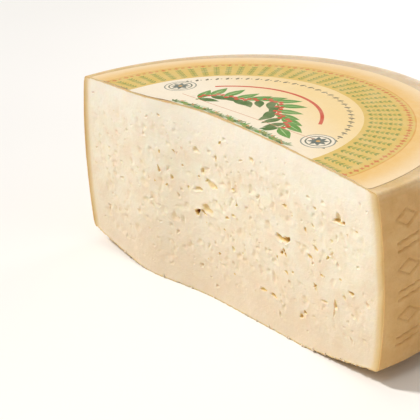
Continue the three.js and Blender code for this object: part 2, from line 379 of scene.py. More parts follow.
def rim_columns():
    """Angles of the columns of the rim, close together where it is marked."""
    half = (MARK_WIDTH / 2 + MARK_BORDER) / WHEEL_RADIUS
    bounds = [cut_angle(WHEEL_RADIUS, False)]
    for i in range(MARK_COLUMNS):
        middle = FIRST_COLUMN + COLUMN_STEP * i
        bounds += [middle - half, middle + half]
    bounds.append(cut_angle(WHEEL_RADIUS, True))
    angles = []
    for i, (low, high) in enumerate(zip(bounds, bounds[1:])):
        step = MARK_STEP if i % 2 else PLAIN_STEP
        count = math.ceil((high - low) * WHEEL_RADIUS / step)
        angles.extend(np.linspace(low, high, count, endpoint=False))
    return np.array(angles + [bounds[-1]])


def mark_lines():
    """The grooves of one column of marks, as pairs of points of the unrolled rim."""
    lines = []
    half = MARK_WIDTH / 2
    rise = MARK_HEIGHT / 4
    for row in range(MARK_ROWS):
        z = RIM_MIDDLE + (row - (MARK_ROWS - 1) / 2) * MARK_PITCH
        if row % 2:
            corners = [(-half, z), (0, z + MARK_HEIGHT / 2), (half, z), (0, z - MARK_HEIGHT / 2)]
            lines += zip(corners, corners[1:] + corners[:1])
        else:
            for up in (-rise, rise):
                lines.append(((-half, z + up - rise / 2), (half, z + up + rise / 2)))
    return lines


def groove_distance(angles, heights):
    """Distance of each point of the rim from the nearest groove."""
    turn = np.mod(angles - FIRST_COLUMN + COLUMN_STEP / 2, COLUMN_STEP) - COLUMN_STEP / 2
    at = np.column_stack([turn * WHEEL_RADIUS, heights])
    nearest = np.full(len(at), np.inf)
    for start, end in mark_lines():
        start = np.array(start)
        along = np.array(end) - start
        t = np.clip((at - start) @ along / (along @ along), 0, 1)
        gap = at - start - t[:, None] * along
        nearest = np.minimum(nearest, distance(gap))
    return nearest


def rim_points(section, columns):
    """The grid of the rim, one row of points for each row of the section."""
    first = cut_angle(WHEEL_RADIUS, False)
    span = cut_angle(WHEEL_RADIUS, True) - first
    share = (columns - first) / span
    rows = []
    for r, z in section:
        start = cut_angle(r, False)
        angles = start + share * (cut_angle(r, True) - start)
        flat = np.column_stack([r * np.cos(angles), r * np.sin(angles), np.full(len(angles), z)])
        gap = groove_distance(angles, flat[:, 2])
        groove = GROOVE_DEPTH * smoothstep(GROOVE_REACH, GROOVE_FLOOR, gap)
        lip = GROOVE_LIP * smoothstep(*LIP_OUTSIDE, gap) * smoothstep(*LIP_INSIDE, gap)
        grown = r - groove + lip + np.minimum(waves(flat, *RIM_WAVES), RIM_WAVE_TOP)
        rows.append(np.column_stack([grown * np.cos(angles), grown * np.sin(angles), flat[:, 2]]))
    return np.array(rows)


def add_rim(surface, section, columns):
    rows = rim_points(section, columns)
    ids = surface.add(rows.reshape(-1, 3)).reshape(len(section), len(columns))
    for i in range(len(section) - 1):
        for j in range(len(columns) - 1):
            surface.faces.append((ids[i, j], ids[i, j + 1], ids[i + 1, j + 1], ids[i + 1, j]))
    return ids


def edge_of_cut(x_from, x_to, height, ragged):
    """Points where the cut meets the face above or below it, without the two end points."""
    count = int(abs(x_to - x_from) / CUT_STEP)
    x = np.linspace(x_from, x_to, count + 1)[1:-1]
    r = np.hypot(x, cut_y(x))
    points = np.column_stack([x, cut_y(x), height(r)])
    points[:, 2] += ragged * np.maximum(0, waves(points, *RAGGED_WAVES))
    points[:, 1] += ragged * SETBACK_SHARE * np.maximum(0, noise(points, *SETBACK_LUMPS))
    return points


def drawn(state):
    """Numbers from 0 to 1, drawn as the solid draws them."""
    while True:
        state = (state * DRAW_FACTOR + DRAW_STEP) % DRAW_RANGE
        yield state / DRAW_RANGE


def is_free(x, z, gap, eyes):
    """Whether a place on the cut keeps clear of the rind and, by the gap, of the eyes."""
    if any(math.hypot(eye[0] - x, eye[1] - z) <= gap + eye[2] / 2 for eye in eyes):
        return False
    r = math.hypot(x, cut_y(x))
    low = base_height(r) + EYE_MARGIN
    high = top_height(r) - EYE_MARGIN
    return r < rim_radius(z) - EYE_MARGIN and low < z < high


def small_eyes():
    """Place and width of the eyes between the large ones, where the solid has them."""
    draws = drawn(SEED)
    eyes = list(LARGE_EYES)
    least, most = SMALL_EYE_SIZE
    for _ in range(SMALL_EYE_TRIES):
        x = WHEEL_RADIUS * (2 * next(draws) - 1)
        z = CENTRE_HEIGHT * next(draws)
        width = least + (most - least) * next(draws) ** SMALL_EYE_POWER
        if is_free(x, z, EYE_SPACING, eyes):
            eyes.append((x, z, width))
    return eyes[len(LARGE_EYES):]


def all_lobes(rng):
    """The large eyes' lobes and one for each small eye."""
    lobes = list(LARGE_LOBES)
    for x, z, width in small_eyes():
        length = SEEN_SIZE * width * rng.uniform(*SMALL_LENGTH)
        turn = rng.normal(*SMALL_TURN)
        depth = rng.uniform(*SMALL_DEPTH) * width
        darkness = max(0, rng.uniform(*SMALL_DARKNESS))
        steep_side = rng.uniform(*SMALL_STEEP_SIDE)
        lobes.append((x, z, length, SEEN_SIZE * width * SMALL_WIDTH, turn, steep_side, depth, darkness))
    return lobes


def soft_dents(rng):
    """Shallow dents all over the cut but for the large eyes, as lobes without painted shade."""
    dents = []
    while len(dents) < SOFT_DENTS:
        x = rng.uniform(-WHEEL_RADIUS, WHEEL_RADIUS)
        z = rng.uniform(0, CENTRE_HEIGHT)
        length = rng.uniform(*DENT_LENGTH)
        if is_free(x, z, length / 2, LARGE_EYES):
            width = length * rng.uniform(*DENT_WIDTH)
            under_rind = skin_distance(on_the_cut(np.array([[x, z]])))[0]
            depth = rng.uniform(*DENT_DEPTH) * smoothstep(*DENT_FADE, under_rind)
            turn = rng.normal(*DENT_TURN)
            dents.append((x, z, length, width, turn, rng.uniform(*DENT_STEEP_SIDE), depth, 0.0))
    return dents


def lobe_shape(flat, lobe, shifts):
    """How deep each point lies in a lobe (1 is its floor), how high on its lip, how deep in shade."""
    x, z, length, width, turn, steep_side, _, darkness = lobe
    offset = turned(flat - [x, z], -turn) / [length / 2, width / 2]
    angle = np.arctan2(offset[:, 1], offset[:, 0])
    wavy = sum(size * np.sin(order * angle + shift) for (order, size), shift in zip(LOBE_WAVES, shifts))
    out = distance(offset) / (1 + wavy)
    gentle = 0.5 - 0.5 * np.cos(angle - math.radians(steep_side - turn))
    floor_edge = LOBE_FLOOR + DARK_FLOOR * min(1, darkness / DARK_WALL)
    share = smoothstep(1, floor_edge - GENTLE_SLOPE * gentle, out)
    lip = gentle * smoothstep(*LIP_RISE, out) * smoothstep(*LIP_FALL, out)
    return share, lip, smoothstep(0, SHADE_SHARE, share) * (1 - GENTLE_SHADE * gentle)


def points_near(flat, x, z, reach):
    return np.flatnonzero((np.abs(flat[:, 0] - x) < reach) & (np.abs(flat[:, 1] - z) < reach))


def carved(flat, lobes):
    """Depth, painted glow in shade and painted shade that the eyes give to points of the cut, as x and z.
    """
    depth = np.zeros(len(flat))
    raised = np.zeros(len(flat))
    shade_glow = np.zeros(len(flat))
    darkness = np.zeros(len(flat))
    rng = np.random.default_rng(EYE_SEED)
    for lobe in lobes:
        x, z, length, width, _, _, full_depth, full_darkness = lobe
        shifts = rng.uniform(0, 2 * math.pi, len(LOBE_WAVES))
        near = points_near(flat, x, z, LOBE_BOX * max(length, width))
        share, lip, shade = lobe_shape(flat[near], lobe, shifts)
        full_shade_glow = min(1, full_depth / WARM_DEPTH) ** WARM_POWER
        depth[near] = np.maximum(depth[near], full_depth * share)
        raised[near] = np.maximum(raised[near], LIP_SHARE * full_depth * lip)
        shade_glow[near] = np.maximum(shade_glow[near], shade * full_shade_glow)
        darkness[near] = np.maximum(darkness[near], full_darkness * smoothstep(*DARK_SHARE, share))
    return np.where(depth > MOUTH_DEPTH, depth, -raised), shade_glow, darkness


def beside_eyes(flat, lobes):
    """Whether each point of the cut lies in an eye or close to its mouth."""
    found = np.zeros(len(flat), bool)
    for x, z, length, width, turn, *_ in lobes:
        half = [FINE_REACH * length + EYE_STEP, FINE_REACH * width + EYE_STEP]
        near = points_near(flat, x, z, max(half))
        offset = turned(flat[near] - [x, z], -turn) / half
        found[near] |= distance(offset) < 1
    return found


def triangles_inside(outline, inner):
    """Triangles that fill an outline and use the inner points."""
    points = np.vstack([outline, inner])
    ring = np.arange(len(outline))
    edges = list(zip(ring.tolist(), np.roll(ring, -1).tolist()))
    made = delaunay_2d_cdt([Vector(p) for p in points], edges, [], INSIDE_ONLY, OUTLINE_TOLERANCE)
    source = [ids[0] for ids in made[3]]
    return [[source[i] for i in face] for face in made[2]]


def scattered(low, high, step, rng):
    """A jittered honeycomb of points over a box."""
    rows = int((high[1] - low[1]) / (step * ROW_SHARE)) + 1
    points = []
    for row in range(rows):
        x = np.arange(low[0] + step / 2 * (row % 2), high[0], step)
        y = np.full(len(x), low[1] + row * step * ROW_SHARE)
        points.append(np.column_stack([x, y]))
    points = np.vstack(points)
    return points + rng.uniform(-JITTER, JITTER, points.shape) * step


def skin_distance(points, top_factor=1, base_factor=1):
    """How deep each point lies under the rim, or times a factor under the top or the underside."""
    r = distance(points)
    z = points[:, 2]
    from_top = top_factor * (top_height(r) - z)
    from_base = base_factor * (z - base_height(r))
    return np.minimum(rim_radius(z) - r, np.minimum(from_top, from_base))


def cut_texture(points):
    """The relief of the cut between the eyes: broad waves and a fine grain."""
    depth = skin_distance(points)
    broad = waves(points, *CUT_WAVES) * smoothstep(*CUT_WAVE_START, depth)
    return broad + waves(points, CUT_GRAIN) * smoothstep(*CUT_GRAIN_START, depth)


def cut_points(outline, lobes, rng):
    """Points inside the cut's outline, as x and z, closer together in and round the eyes."""
    low = outline.min(axis=0)
    high = outline.max(axis=0)
    coarse = scattered(low, high, CUT_STEP, rng)
    fine = scattered(low, high, EYE_STEP, rng)
    flat = np.vstack([coarse[~beside_eyes(coarse, lobes)], fine[beside_eyes(fine, lobes)]])
    return flat[skin_distance(on_the_cut(flat)) > EDGE_CLEARANCE]


def add_cut(surface, outline_ids, rng):
    """The cut face, torn open by the eyes, inside the given edge."""
    lobes = all_lobes(rng)
    outline = surface.points_at(outline_ids)[:, [0, 2]]
    flat = cut_points(outline, lobes, rng)
    depth, shade_glow, darkness = carved(flat, lobes + soft_dents(rng))
    points = on_the_cut(flat)
    points[:, 1] += cut_texture(points) + depth + CUT_SETBACK
    ids = np.concatenate([outline_ids, surface.add(points, shade_glow, darkness)])
    surface.faces += [tuple(ids[face]) for face in triangles_inside(outline, flat)]


def add_cap(surface, outline_ids, height, relief, flip, rng):
    """The top or the underside, inside the given edge."""
    outline = surface.points_at(outline_ids)[:, :2]
    inner = scattered(outline.min(axis=0), outline.max(axis=0), DOME_STEP, rng)
    inside_rim = distance(inner) < distance(outline)[0] - DOME_STEP / 2
    inner = inner[inside_rim & (inner[:, 1] > cut_y(inner[:, 0]) + DOME_STEP / 2)]
    r = distance(inner)
    points = np.column_stack([inner, height(r)])
    points[:, 2] += relief(points, r)
    ids = np.concatenate([outline_ids, surface.add(points)])
    for face in triangles_inside(outline, inner):
        corners = tuple(ids[face])
        surface.faces.append(corners[::-1] if flip else corners)


def top_relief(points, r):
    return -TOP_RELIEF * smoothstep(*TOP_BARE, r) * noise(points, *TOP_LUMPS) ** 2 - TOP_SINK


def base_relief(points, r):
    share = BASE_FLAT_RELIEF + smoothstep(*BASE_LIFTED, r)
    return BASE_RELIEF * noise(points, *BASE_LUMPS) ** 2 * share


def cheese_surface():
    rng = np.random.default_rng(SEED)
    surface = Surface()
    section = rim_section()
    columns = rim_columns()
    rim = add_rim(surface, section, columns)
    corners = surface.points_at(rim.ravel()).reshape(*rim.shape, 3)
    top = surface.add(edge_of_cut(corners[-1, -1, 0], corners[-1, 0, 0], top_height, RAGGED_TOP))
    base = surface.add(edge_of_cut(corners[0, -1, 0], corners[0, 0, 0], base_height, RAGGED_BASE))
    add_cap(surface, np.concatenate([rim[-1], top]), top_height, top_relief, False, rng)
    add_cap(surface, np.concatenate([rim[0], base]), base_height, base_relief, True, rng)
    outline = np.concatenate([rim[:, 0], top[::-1], rim[::-1, -1], base])
    add_cut(surface, outline, rng)
    return surface


# ---- materials

# Ramps of the cheese's colours, as (position, sRGB code).
PASTE = [(0.36, "e6d3b7"), (0.5, "e7d9bf"), (0.62, "e9dfc8")]
PASTE_CLOUDS = "ebe0c8"
PAINTED_SHADE_PASTE = "dac5a8"
PAINTED_LIGHT_PASTE = "f0eadc"
UNDER_RIND = [(0.0, "bc9657"), (0.1, "c29d60"), (0.22, "ceb079"), (0.45, "d8be90"), (0.7, "e1d1b2")]
# the rind's own tan on the rim's side, deepened by a painted warm bounce of light
RIM_RIND = [(0.3, "c9a062"), (0.5, "d1a96d"), (0.7, "d7b378")]
RIM_EDGE_GLOW = "d9b67a"
GROOVE_SHADE = "a87838"
CROWN = [(0.35, "dcbd88"), (0.65, "e6cca0")]
# painted sheen on the back of the crown
SHEEN_BACK = [(0.35, "e2cfb4"), (0.65, "eadbc4")]
RIND_SPOTS = "b98a4c"
# painted warm glow of light scattered into the eyes' shaded walls
EYE_SHADE_GLOW = "e6c68a"
# painted shade deep in the eyes, darkest at their floors
EYE_SHADE = [(0.0, "e4cd98"), (0.3, "dcbd76"), (0.6, "c79b4e"), (0.8, "9c6824"), (1.0, "7e3c16")]
SCATTER_WEIGHT = 0.45
SCATTER_DEPTH = 0.003  # metres, as the shader takes it
SCATTER_RADIUS = (1.0, 0.6, 0.3)  # red light goes farthest
WORN_PAPER = "f6e6c6"
PAPER_FIBRE = "c9a468"
FLOOR = [(0.3, "f0efec"), (0.7, "f4f3f1")]


def linear(code):
    """A linear colour from an sRGB code such as f3e2c2."""
    parts = [int(code[i:i + 2], 16) / 255 for i in (0, 2, 4)]
    return [p / 12.92 if p < 0.04045 else ((p + 0.055) / 1.055) ** 2.4 for p in parts]


class Nodes:
    """A few short ways to wire a material."""

    def __init__(self, name):
        self.material = bpy.data.materials.new(name)
        self.material.use_nodes = True
        self.tree = self.material.node_tree
        self.shader = self.tree.nodes["Principled BSDF"]
        self.place = self.tree.nodes.new("ShaderNodeTexCoord").outputs["Object"]

    def link(self, source, target):
        self.tree.links.new(source, target)

    def set(self, **values):
        for name, value in values.items():
            self.shader.inputs[name.replace("_", " ")].default_value = value

    def attribute(self, name, output="Fac"):
        node = self.tree.nodes.new("ShaderNodeAttribute")
        node.attribute_name = name
        return node.outputs[output]

    def noise(self, size_mm, detail):
        node = self.tree.nodes.new("ShaderNodeTexNoise")
        node.inputs["Scale"].default_value = 1 / (size_mm * MM)
        node.inputs["Detail"].default_value = detail
        self.link(self.place, node.inputs["Vector"])
        return node.outputs["Fac"]

    def ramp(self, fac, stops):
        """Colours along a factor, as (position, sRGB code)."""
        node = self.tree.nodes.new("ShaderNodeValToRGB")
        elements = node.color_ramp.elements
        while len(elements) < len(stops):
            elements.new(0.5)
        for element, (position, code) in zip(elements, stops):
            element.position = position
            element.color = linear(code) + [1]
        self.link(fac, node.inputs["Fac"])
        return node.outputs["Color"]

    def mix(self, fac, a, b):
        """Mixes two colours, each a socket or an sRGB code."""
        node = self.tree.nodes.new("ShaderNodeMix")
        node.data_type = "RGBA"
        for value, socket in ((fac, node.inputs[0]), (a, node.inputs[6]), (b, node.inputs[7])):
            if isinstance(value, str):
                socket.default_value = linear(value) + [1]
            else:
                self.link(value, socket)
        return node.outputs[2]

    def spread(self, fac, low, high, to_low=0.0, to_high=1.0):
        """Maps low..high of a factor to to_low..to_high."""
        node = self.tree.nodes.new("ShaderNodeMapRange")
        for name, value in (("From Min", low), ("From Max", high), ("To Min", to_low), ("To Max", to_high)):
            node.inputs[name].default_value = value
        self.link(fac, node.inputs["Value"])
        return node.outputs["Result"]

    def zone(self, name, strength):
        """A zone of the mesh, at most as strong as given."""
        return self.spread(self.attribute(name), 0, 1, 0, strength)

    def bumps(self, layers):
        """Bump layers as (height, depth in millimetres), finest last."""
        normal = None
        for height, depth in layers:
            node = self.tree.nodes.new("ShaderNodeBump")
            node.inputs["Distance"].default_value = depth * MM
            self.link(height, node.inputs["Height"])
            if normal is not None:
                self.link(normal, node.inputs["Normal"])
            normal = node.outputs["Normal"]
        self.link(normal, self.shader.inputs["Normal"])


def paste_colour(m):
    """The cut paste: cloudy, with painted warm shade at the bottom and painted light at the top."""
    paste = m.ramp(m.noise(14, 2), PASTE)
    paste = m.mix(m.spread(m.noise(22, 3), 0.4, 0.65, 0, 0.5), paste, PASTE_CLOUDS)
    # painted warm shade towards the bottom of the cut
    paste = m.mix(m.zone("low", 0.75), paste, PAINTED_SHADE_PASTE)
    # painted light towards the top of the cut
    return m.mix(m.zone("high", 0.6), paste, PAINTED_LIGHT_PASTE)


def rind_colour(m):
    """The rind: tan at the rim with partly painted warm bounce, painted shade in its grooves, a painted
    glow at the cut, paler on the crown, with painted sheen at its back.
    """
    # the side's tan: the rind's colour partly deepened by painted warm bounce
    side = m.ramp(m.noise(12, 5), RIM_RIND)
    # painted glow of light leaking through the rind near the cut
    side = m.mix(m.zone("edge", 0.5), side, RIM_EDGE_GLOW)
    # painted shade in the rim's pressed grooves
    side = m.mix(m.zone("groove", 0.24), side, GROOVE_SHADE)
    crown = m.ramp(m.noise(20, 4), CROWN)
    pale = m.ramp(m.noise(16, 3), SHEEN_BACK)
    # painted sheen towards the back of the crown
    crown = m.mix(m.attribute("back_sheen"), crown, pale)
    rind = m.mix(m.attribute("side"), crown, side)
    return m.mix(m.spread(m.noise(2.2, 3), 0.5, 0.75, 0, 0.2), rind, RIND_SPOTS)


def cheese_material(name, scatter):
    """The paste and rind. Light scatters through it, but not through pieces as small as crumbs."""
    m = Nodes(name)
    skin = m.attribute("skin")
    paste = paste_colour(m)
    flesh = m.mix(m.spread(skin, 0.5, 1.0), m.ramp(skin, UNDER_RIND), paste)
    rind = rind_colour(m)
    colour = m.mix(m.spread(skin, 0, 0.04), rind, flesh)
    # painted warm glow in the shaded walls of the eyes
    colour = m.mix(m.zone("shade_glow", 0.8), colour, EYE_SHADE_GLOW)
    # painted shade deep in the eyes
    eye_shade_colour = m.ramp(m.attribute("darkness"), EYE_SHADE)
    colour = m.mix(m.spread(m.attribute("darkness"), 0.02, 0.25), colour, eye_shade_colour)
    m.link(colour, m.shader.inputs["Base Color"])
    rough = m.spread(m.noise(5, 3), 0.3, 0.7, 0.42, 0.62)
    m.link(rough, m.shader.inputs["Roughness"])
    m.set(Subsurface_Weight=scatter, Subsurface_Scale=SCATTER_DEPTH, Specular_IOR_Level=0.4)
    m.set(Subsurface_Radius=SCATTER_RADIUS)
    m.bumps([(m.noise(2.4, 3), 0.4), (m.noise(0.8, 2), 0.12)])
    return m.material


def label_material():
    """Printed paper, a little worn and fibrous."""
    m = Nodes("label_paper")
    print_colour = m.attribute("print", "Color")
    wear = m.spread(m.noise(9, 5), 0.4, 0.75, 0, 0.16)
    colour = m.mix(wear, print_colour, WORN_PAPER)
    fibre = m.spread(m.noise(1.1, 3), 0.4, 0.8, 0, 0.12)
    colour = m.mix(fibre, colour, PAPER_FIBRE)
    m.link(colour, m.shader.inputs["Base Color"])
    m.link(m.spread(m.noise(6, 3), 0.3, 0.7, 0.45, 0.6), m.shader.inputs["Roughness"])
    m.bumps([(m.noise(7, 3), 0.25), (m.noise(0.7, 2), 0.05)])
    return m.material


def floor_material():
    m = Nodes("floor")
    m.link(m.ramp(m.noise(600, 2), FLOOR), m.shader.inputs["Base Color"])
    m.set(Roughness=0.75, Specular_IOR_Level=0.2)
    return m.material


# ---- pieces

def in_scene(name, data):
    made = bpy.data.objects.new(name, data)
    bpy.context.scene.collection.objects.link(made)
    return made


def mesh_piece(name, points, faces, material, attributes=None):
    mesh = bpy.data.meshes.new(name)
    mesh.from_pydata((np.asarray(points) * MM).tolist(), [], [tuple(int(i) for i in f) for f in faces])
    for key, values in (attributes or {}).items():
        layer = mesh.attributes.new(key, "FLOAT", "POINT")
        layer.data.foreach_set("value", np.asarray(values, np.float32))
    mesh.materials.append(material)
    piece = in_scene(name, mesh)
    mesh.shade_smooth()
    mesh.set_sharp_from_angle(angle=SMOOTH_ANGLE)
    return piece


def rim_attributes(points, rim_count):
    """How much each point belongs to the rim's side, its painted back sheen, its painted glow at the cut
    and a groove's painted shade.
    """
    # mask of the painted sheen towards the back of the crown
    back_sheen = smoothstep(*BACK_SHEEN_REACH, points[:, 1])
    # the side's mask carries the rind's tan and its painted warm bounce
    side_top = RIM_EDGE_HEIGHT + SIDE_TOP - PALE_SIDE_DROP * back_sheen + waves(points, SIDE_TOP_WAVE)
    side = smoothstep(side_top, side_top - SIDE_FADE - PALE_SIDE_FADE * back_sheen, points[:, 2])
    # mask of the painted glow through the rind near the cut
    edge = np.exp(-np.maximum(0, points[:, 1] - cut_y(points[:, 0])) / EDGE_REACH)
    groove = np.zeros(len(points))
    rim = points[:rim_count]
    gap = groove_distance(np.arctan2(rim[:, 1], rim[:, 0]), rim[:, 2])
    # mask of the painted shade in the grooves
    groove[:rim_count] = smoothstep(0.8 * GROOVE_REACH, GROOVE_FLOOR, gap)
    return {"side": side, "back_sheen": back_sheen, "edge": edge, "groove": groove}


def make_cheese(material):
    surface = cheese_surface()
    points = np.vstack(surface.points)
    rim_count = len(rim_section()) * len(rim_columns())
    skin = np.clip(skin_distance(points, TOP_RIND, BASE_RIND) / SKIN_REACH, 0, 1)
    skin[:rim_count] = 0
    attributes = rim_attributes(points, rim_count)
    attributes["skin"] = skin
    # masks of the painted warm shade towards the bottom and the painted light towards the top
    attributes["low"] = smoothstep(LOW_PASTE, 0, points[:, 2])
    attributes["high"] = smoothstep(LOW_PASTE, CENTRE_HEIGHT, points[:, 2])
    # masks of the painted glow in the eyes' shade and the painted shade deep in them
    attributes["shade_glow"] = np.concatenate(surface.shade_glow)
    attributes["darkness"] = np.concatenate(surface.darkness)
    piece = mesh_piece("cheese_half", points, surface.faces, material, attributes)
    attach(piece, "root")
    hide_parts("cheese")


def ball_mesh():
    """Points and triangles of a small ball of radius 1."""
    ball = bmesh.new()
    bmesh.ops.create_icosphere(ball, subdivisions=2, radius=1)
    points = np.array([v.co[:] for v in ball.verts])
    triangles = np.array([[v.index for v in f.verts] for f in ball.faces])
    ball.free()
    return points, triangles


def make_crumbs(material):
    """Small torn bits that stick to the lower edge of the cut."""
    rng = np.random.default_rng(CRUMB_SEED)
    least, most = CRUMB_SIZE
    unit, triangles = ball_mesh()
    points = []
    faces = []
    for i in range(CRUMBS):
        x = rng.uniform(*CRUMB_REACH)
        size = least + (most - least) * rng.random() ** CRUMB_POWER
        y = cut_y(x) - CRUMB_OUT * size
        z = base_height(math.hypot(x, y)) + size * rng.uniform(*CRUMB_LIFT)
        lumpy = unit * (1 + waves(unit * 3 + 5 * i, CRUMB_LUMPS))[:, None]
        faces.append(triangles + len(unit) * i)
        points.append(lumpy * size * rng.uniform(*CRUMB_SQUASH, 3) + [x, y, z])
    points = np.vstack(points)
    points[:, 2] = np.maximum(points[:, 2], FLOOR_GAP)
    full = np.ones(len(points))
    # the crumbs carry the full painted warm shade of the cut's bottom
    attributes = {"skin": full, "low": full}
    piece = mesh_piece("crumbs", points, np.vstack(faces), material, attributes)
    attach(piece, "root")


# ---- the label

CREAM = "f4e8d2"
PEACH = "f2d69c"
CENTRE = "centre"  # fades from cream to peach
CENTRE_FADE = 75
CENTRE_SLANT = 0.28
YELLOW = "dcbc65"
GOLD = "ebc178"
EDGE_GOLD = "f3d9ae"
BARE_PAPER = "f3e8d2"
PRINT_GREEN = "5c9440"
DARK_GREEN = "4c7034"
GREY_GREEN = "93a37c"
PALE_GREEN = "a8a64e"
LIGHT_GREEN = "a9c987"
MEADOW_GREEN = "dfe0c6"
OLIVE = "8a9444"
PRINT_RED = "cc4a30"
RULE_RED = "cf8f6e"
ORANGE = "cf7a40"
BLOSSOM = "e0a070"
INK = "6f6a58"

# The yellow ring with its sprigs and flowers. Turns are in degrees.
RING_OUTER = 133
RING_INNER = 98.5
RING_LINE = 1.0
RING_LINE_REACH = (-10, 190)
RING_ORANGE = "dba24e"
BORDER_FADE = 4
ARC_STEP = 3.0
RAYS = 43
RAY_STEP = 4.5
FIRST_RAY = -4
FLOWERS = ((3.5, 0, 2.4, 0), (3.2, RAY_STEP / 2, 1.8, 45))  # inset, shift, size, turn
TWIG_REACH = (RING_INNER + 3, RING_OUTER - 8)
TWIG_WIDTH = 0.6
SPRIG_START = 3.5
SPRIG_PAIRS = 7
SPRIG_PITCH = 3.3
SPRIG_SPREAD = 42
SPRIG_LEAF = (3.7, 1.8, 3)  # length, width and steps, as in every leaf

# The row of ink leaves and the rosettes.
INK_RADIUS = 90
INK_LEAVES = 33
FIRST_INK_LEAF = 12
INK_STEP = 4.75
INK_LEAF = (5.4, 2.5, 4)
INK_LEAF_TILT = 20
INK_LEAF_INSET = 2.5
INK_DOT = 0.8
INK_DOT_SHIFT = 2.3
ROSETTES = [(-77, 14.5), (79, 14.5)]
ROSETTE_RADIUS = 12
ROSETTE_RINGS = ((0, 28, "8a8f86"), (1, 28, CREAM), (3, 24, "6d7568"), (4.2, 24, CREAM))
PETALS = 8
PETAL = (ROSETTE_RADIUS - 4.5, 3.6, 4)
PETAL_GREY = "5d6b66"
HEART_RADIUS = 1.6
HEART_GOLD = "d9a55c"

# The garland, the arc over it, the meadow and the rule.
GARLAND_RADIUS = 43
GARLAND_START = 166
GARLAND_SWEEP = 152
VINE_BENDS = 5
VINE_WAVE = 5
VINE_POINTS = 40
VINE_WIDTH = 1.6
GARLAND_LEAVES = 13
GARLAND_PAIR = [
    (48, (21, 8.5, 7), PRINT_GREEN),
    (-50, (17, 7, 7), DARK_GREEN),
    (48, (17, 0.9, 4), LIGHT_GREEN),
]
LEAF_START = 0.3
BERRY_START = 0.85
BERRY_FAN = (-70, 0, 70)
BERRY_STALK = 3.4
BERRY_RADIUS = 1.9
ARC_RADIUS = 70
ARC_REACH = (38, 146)
ARC_WIDTH = 2.6
MEADOW_REACH = (-52, 72)
MEADOW_LOW = 3
MEADOW_HIGH = 6.5
MEADOW_WAVE = 1.6
MEADOW_STRIDE = 5.5
MEADOW_TUFTS = 30
TUFT_COLOURS = (DARK_GREEN, GREY_GREEN, PRINT_GREEN, OLIVE)
TUFT_ROOT = (-0.5, 2.5)
TUFT_FAN = (-62, -30, 0, 30, 62)
TUFT_LENGTH = (4.5, 8)
BLOSSOMS = (((2, 2.6), 1.5, ORANGE), ((-1.4, 4.2), 1.1, BLOSSOM))  # place, radius, colour
RULE_REACH = (-60, 75, 16)
RULE_FOOT = 4.2
RULE_BEND = -50
RULE_RISE = 0.0022
RULE_POWER = 1.75
RULE_WIDTH = 0.6


def polar(r, degrees):
    angle = math.radians(degrees)
    return LABEL_CENTRE + r * np.array([math.cos(angle), math.sin(angle)])


def disc(centre, radius, count):
    angles = np.arange(count) * 2 * math.pi / count
    return centre + np.column_stack([radius * np.cos(angles), radius * np.sin(angles)])


def leaf(root, degrees, length, width, steps):
    """A pointed leaf that grows from its root."""
    t = np.linspace(0, 1, steps + 1)
    half = width / 2 * np.sin(math.pi * t**0.8)
    lower = np.column_stack([t * length, -half])
    upper = np.column_stack([t * length, half])[1:-1][::-1]
    return root + turned(np.vstack([lower, upper]), degrees)


def band(points, width):
    """A strip of the given width along a line of points."""
    points = np.asarray(points, float)
    along = np.gradient(points, axis=0)
    along /= distance(along)[:, None]
    side = np.column_stack([along[:, 1], -along[:, 0]]) * width / 2
    return np.vstack([points + side, (points - side)[::-1]])


def arc(radius, low, high):
    count = int((high - low) / ARC_STEP)
    return np.array([polar(radius, a) for a in np.linspace(low, high, count + 1)])


def print_shapes():
    """The label's printed shapes as (outline, colour code), later ones on top."""
    line = arc(RING_OUTER + RING_LINE / 2, *RING_LINE_REACH)
    shapes = [(disc(LABEL_CENTRE, RING_OUTER, 160), YELLOW), (disc(LABEL_CENTRE, RING_INNER, 120), CENTRE)]
    shapes.append((band(line, RING_LINE), RING_ORANGE))
    for i in range(RAYS):
        degrees = FIRST_RAY + RAY_STEP * i
        shapes += sprig(degrees)
        for inset, shift, size, turn in FLOWERS:
            shapes += flower(polar(RING_OUTER - inset, degrees + shift), size, degrees + turn)
    shapes += ink_row()
    for place in ROSETTES:
        shapes += rosette(np.array(place))
    shapes += garland()
    shapes += meadow()
    shapes.append((band(rule_line(), RULE_WIDTH), RULE_RED))
    return shapes


def sprig(degrees):
    """A radial twig with pairs of small leaves, in the yellow ring."""
    twig = [polar(r, degrees) for r in TWIG_REACH]
    shapes = [(band(twig, TWIG_WIDTH), OLIVE)]
    for k in range(SPRIG_PAIRS):
        root = polar(RING_INNER + SPRIG_START + SPRIG_PITCH * k, degrees)
        for side in (-SPRIG_SPREAD, SPRIG_SPREAD):
            shapes.append((leaf(root, degrees + side, *SPRIG_LEAF), PALE_GREEN if k % 2 else OLIVE))
    return shapes


def flower(centre, size, degrees):
    return [(leaf(centre, degrees + 90 * k, size, size * 0.8, 3), ORANGE) for k in range(4)]


def ink_row():
    """An arc of small dark leaves with a dot between each two."""
    shapes = []
    for i in range(INK_LEAVES):
        degrees = FIRST_INK_LEAF + INK_STEP * i
        root = polar(INK_RADIUS - INK_LEAF_INSET, degrees)
        shapes.append((leaf(root, degrees - INK_LEAF_TILT, *INK_LEAF), INK))
        shapes.append((disc(polar(INK_RADIUS, degrees + INK_DOT_SHIFT), INK_DOT, 6), INK))
    return shapes


def rosette(centre):
    shapes = [(disc(centre, ROSETTE_RADIUS - inset, count), code) for inset, count, code in ROSETTE_RINGS]
    for k in range(PETALS):
        shapes.append((leaf(centre, 360 / PETALS * k, *PETAL), PETAL_GREY))
    shapes.append((disc(centre, HEART_RADIUS, 8), HEART_GOLD))
    return shapes


def vine_point(t):
    """A point and direction along the garland's stem, for t from 0 to 1."""
    degrees = GARLAND_START - GARLAND_SWEEP * t
    radius = GARLAND_RADIUS + VINE_WAVE * math.sin(VINE_BENDS * math.pi * t)
    return polar(radius, degrees), degrees - 90


